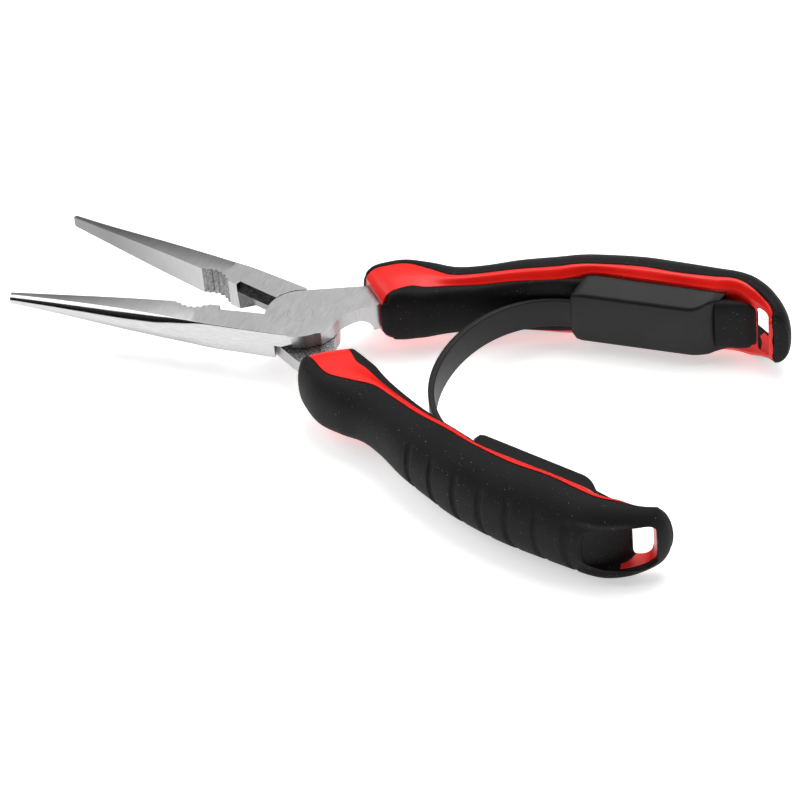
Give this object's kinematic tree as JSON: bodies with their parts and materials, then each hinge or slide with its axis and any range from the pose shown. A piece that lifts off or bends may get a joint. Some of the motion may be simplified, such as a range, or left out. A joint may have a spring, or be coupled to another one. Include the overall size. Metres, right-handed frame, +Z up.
{
  "type": "needle nose pliers",
  "caption": "Needle nose pliers with long tapered jaws, pipe grip, side cutter, moulded handles with a red band, and a U-shaped return leaf that holds them open.",
  "frame": {"origin": "where the pivot axis meets the joint's lower face", "axes": "+X from the pivot towards the handles, +Z up along the pivot axis"},
  "size_m": [0.1919, 0.101, 0.0232],
  "materials": {
    "steel": "satin ground flats, polished jaw backs",
    "rivet_steel": "ground flush",
    "red_plastic": "smooth moulded",
    "soft_black": "soft overmould with a fine grain",
    "satin_black": "satin moulded"
  },
  "bodies": {
    "far_side": {"far_half": "steel", "far_handle_core": "red_plastic", "far_outer_grip": "soft_black", "far_inner_pad": "soft_black", "far_stop_block": "soft_black", "far_spring_clip": "satin_black", "pivot_rivet": "rivet_steel", "return_leaf": "satin_black"},
    "near_side": {"near_half": "steel", "near_handle_core": "red_plastic", "near_outer_grip": "soft_black", "near_inner_pad": "soft_black", "near_stop_block": "soft_black", "near_spring_clip": "satin_black"}
  },
  "joints": [
    {"name": "pivot", "type": "hinge", "parent": "far_side", "child": "near_side", "pos_m": [0, 0, 0], "axis": [0, 0, 1], "range_deg": [-6, 24.4], "stiffness_Nm_per_rad": 2, "deforming": ["return_leaf"]}
  ]
}
